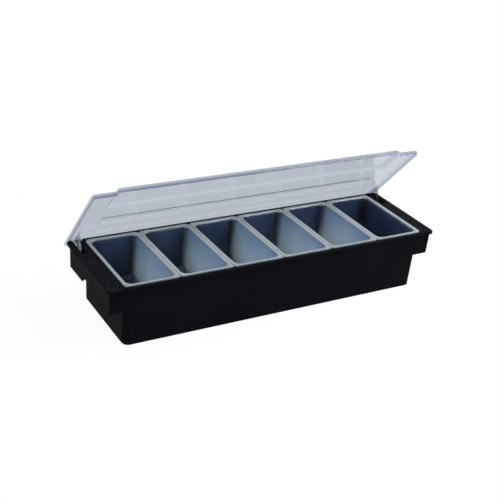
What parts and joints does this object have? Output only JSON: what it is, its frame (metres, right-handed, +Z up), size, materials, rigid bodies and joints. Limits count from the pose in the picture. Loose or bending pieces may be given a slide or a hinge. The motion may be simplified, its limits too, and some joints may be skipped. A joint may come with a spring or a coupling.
{
  "type": "bar garnish tray",
  "caption": "Bar garnish tray: a black moulded tub with grip ends, translucent lift-out inserts for garnishes and a clear hinged lid that stands part open.",
  "frame": {"origin": "on the underside of the tub, halfway along the tray and halfway between the flange's front and rear edges", "axes": "+X along the tray to its right end, +Y to the hinge side, +Z up out of the inserts"},
  "size_m": [0.5, 0.1601, 0.1888],
  "materials": {
    "black_plastic": "black moulded plastic, finely textured on the flange",
    "clear_plastic": "clear moulded plastic with a faint grey-blue tint",
    "translucent_plastic": "natural translucent plastic"
  },
  "bodies": {
    "base_tray": {"base_tray": "black_plastic"},
    "lid": {"lid": "clear_plastic"},
    "insert_1": {"insert_1": "translucent_plastic"},
    "insert_2": {"insert_2": "translucent_plastic"},
    "insert_3": {"insert_3": "translucent_plastic"},
    "insert_4": {"insert_4": "translucent_plastic"},
    "insert_5": {"insert_5": "translucent_plastic"},
    "insert_6": {"insert_6": "translucent_plastic"}
  },
  "joints": [
    {"name": "lid_hinge", "type": "hinge", "parent": "base_tray", "child": "lid", "pos_m": [0, 0.061, 0.0677], "axis": [-1, 0, 0], "range_deg": [-49.3, 55.7]},
    {"name": "insert_1_lift", "type": "slide", "parent": "base_tray", "child": "insert_1", "axis": [0, 0, 1], "range_m": [0, 0.008]},
    {"name": "insert_2_lift", "type": "slide", "parent": "base_tray", "child": "insert_2", "axis": [0, 0, 1], "range_m": [0, 0.008]},
    {"name": "insert_3_lift", "type": "slide", "parent": "base_tray", "child": "insert_3", "axis": [0, 0, 1], "range_m": [0, 0.008]},
    {"name": "insert_4_lift", "type": "slide", "parent": "base_tray", "child": "insert_4", "axis": [0, 0, 1], "range_m": [0, 0.008]},
    {"name": "insert_5_lift", "type": "slide", "parent": "base_tray", "child": "insert_5", "axis": [0, 0, 1], "range_m": [0, 0.008]},
    {"name": "insert_6_lift", "type": "slide", "parent": "base_tray", "child": "insert_6", "axis": [0, 0, 1], "range_m": [0, 0.008]}
  ]
}
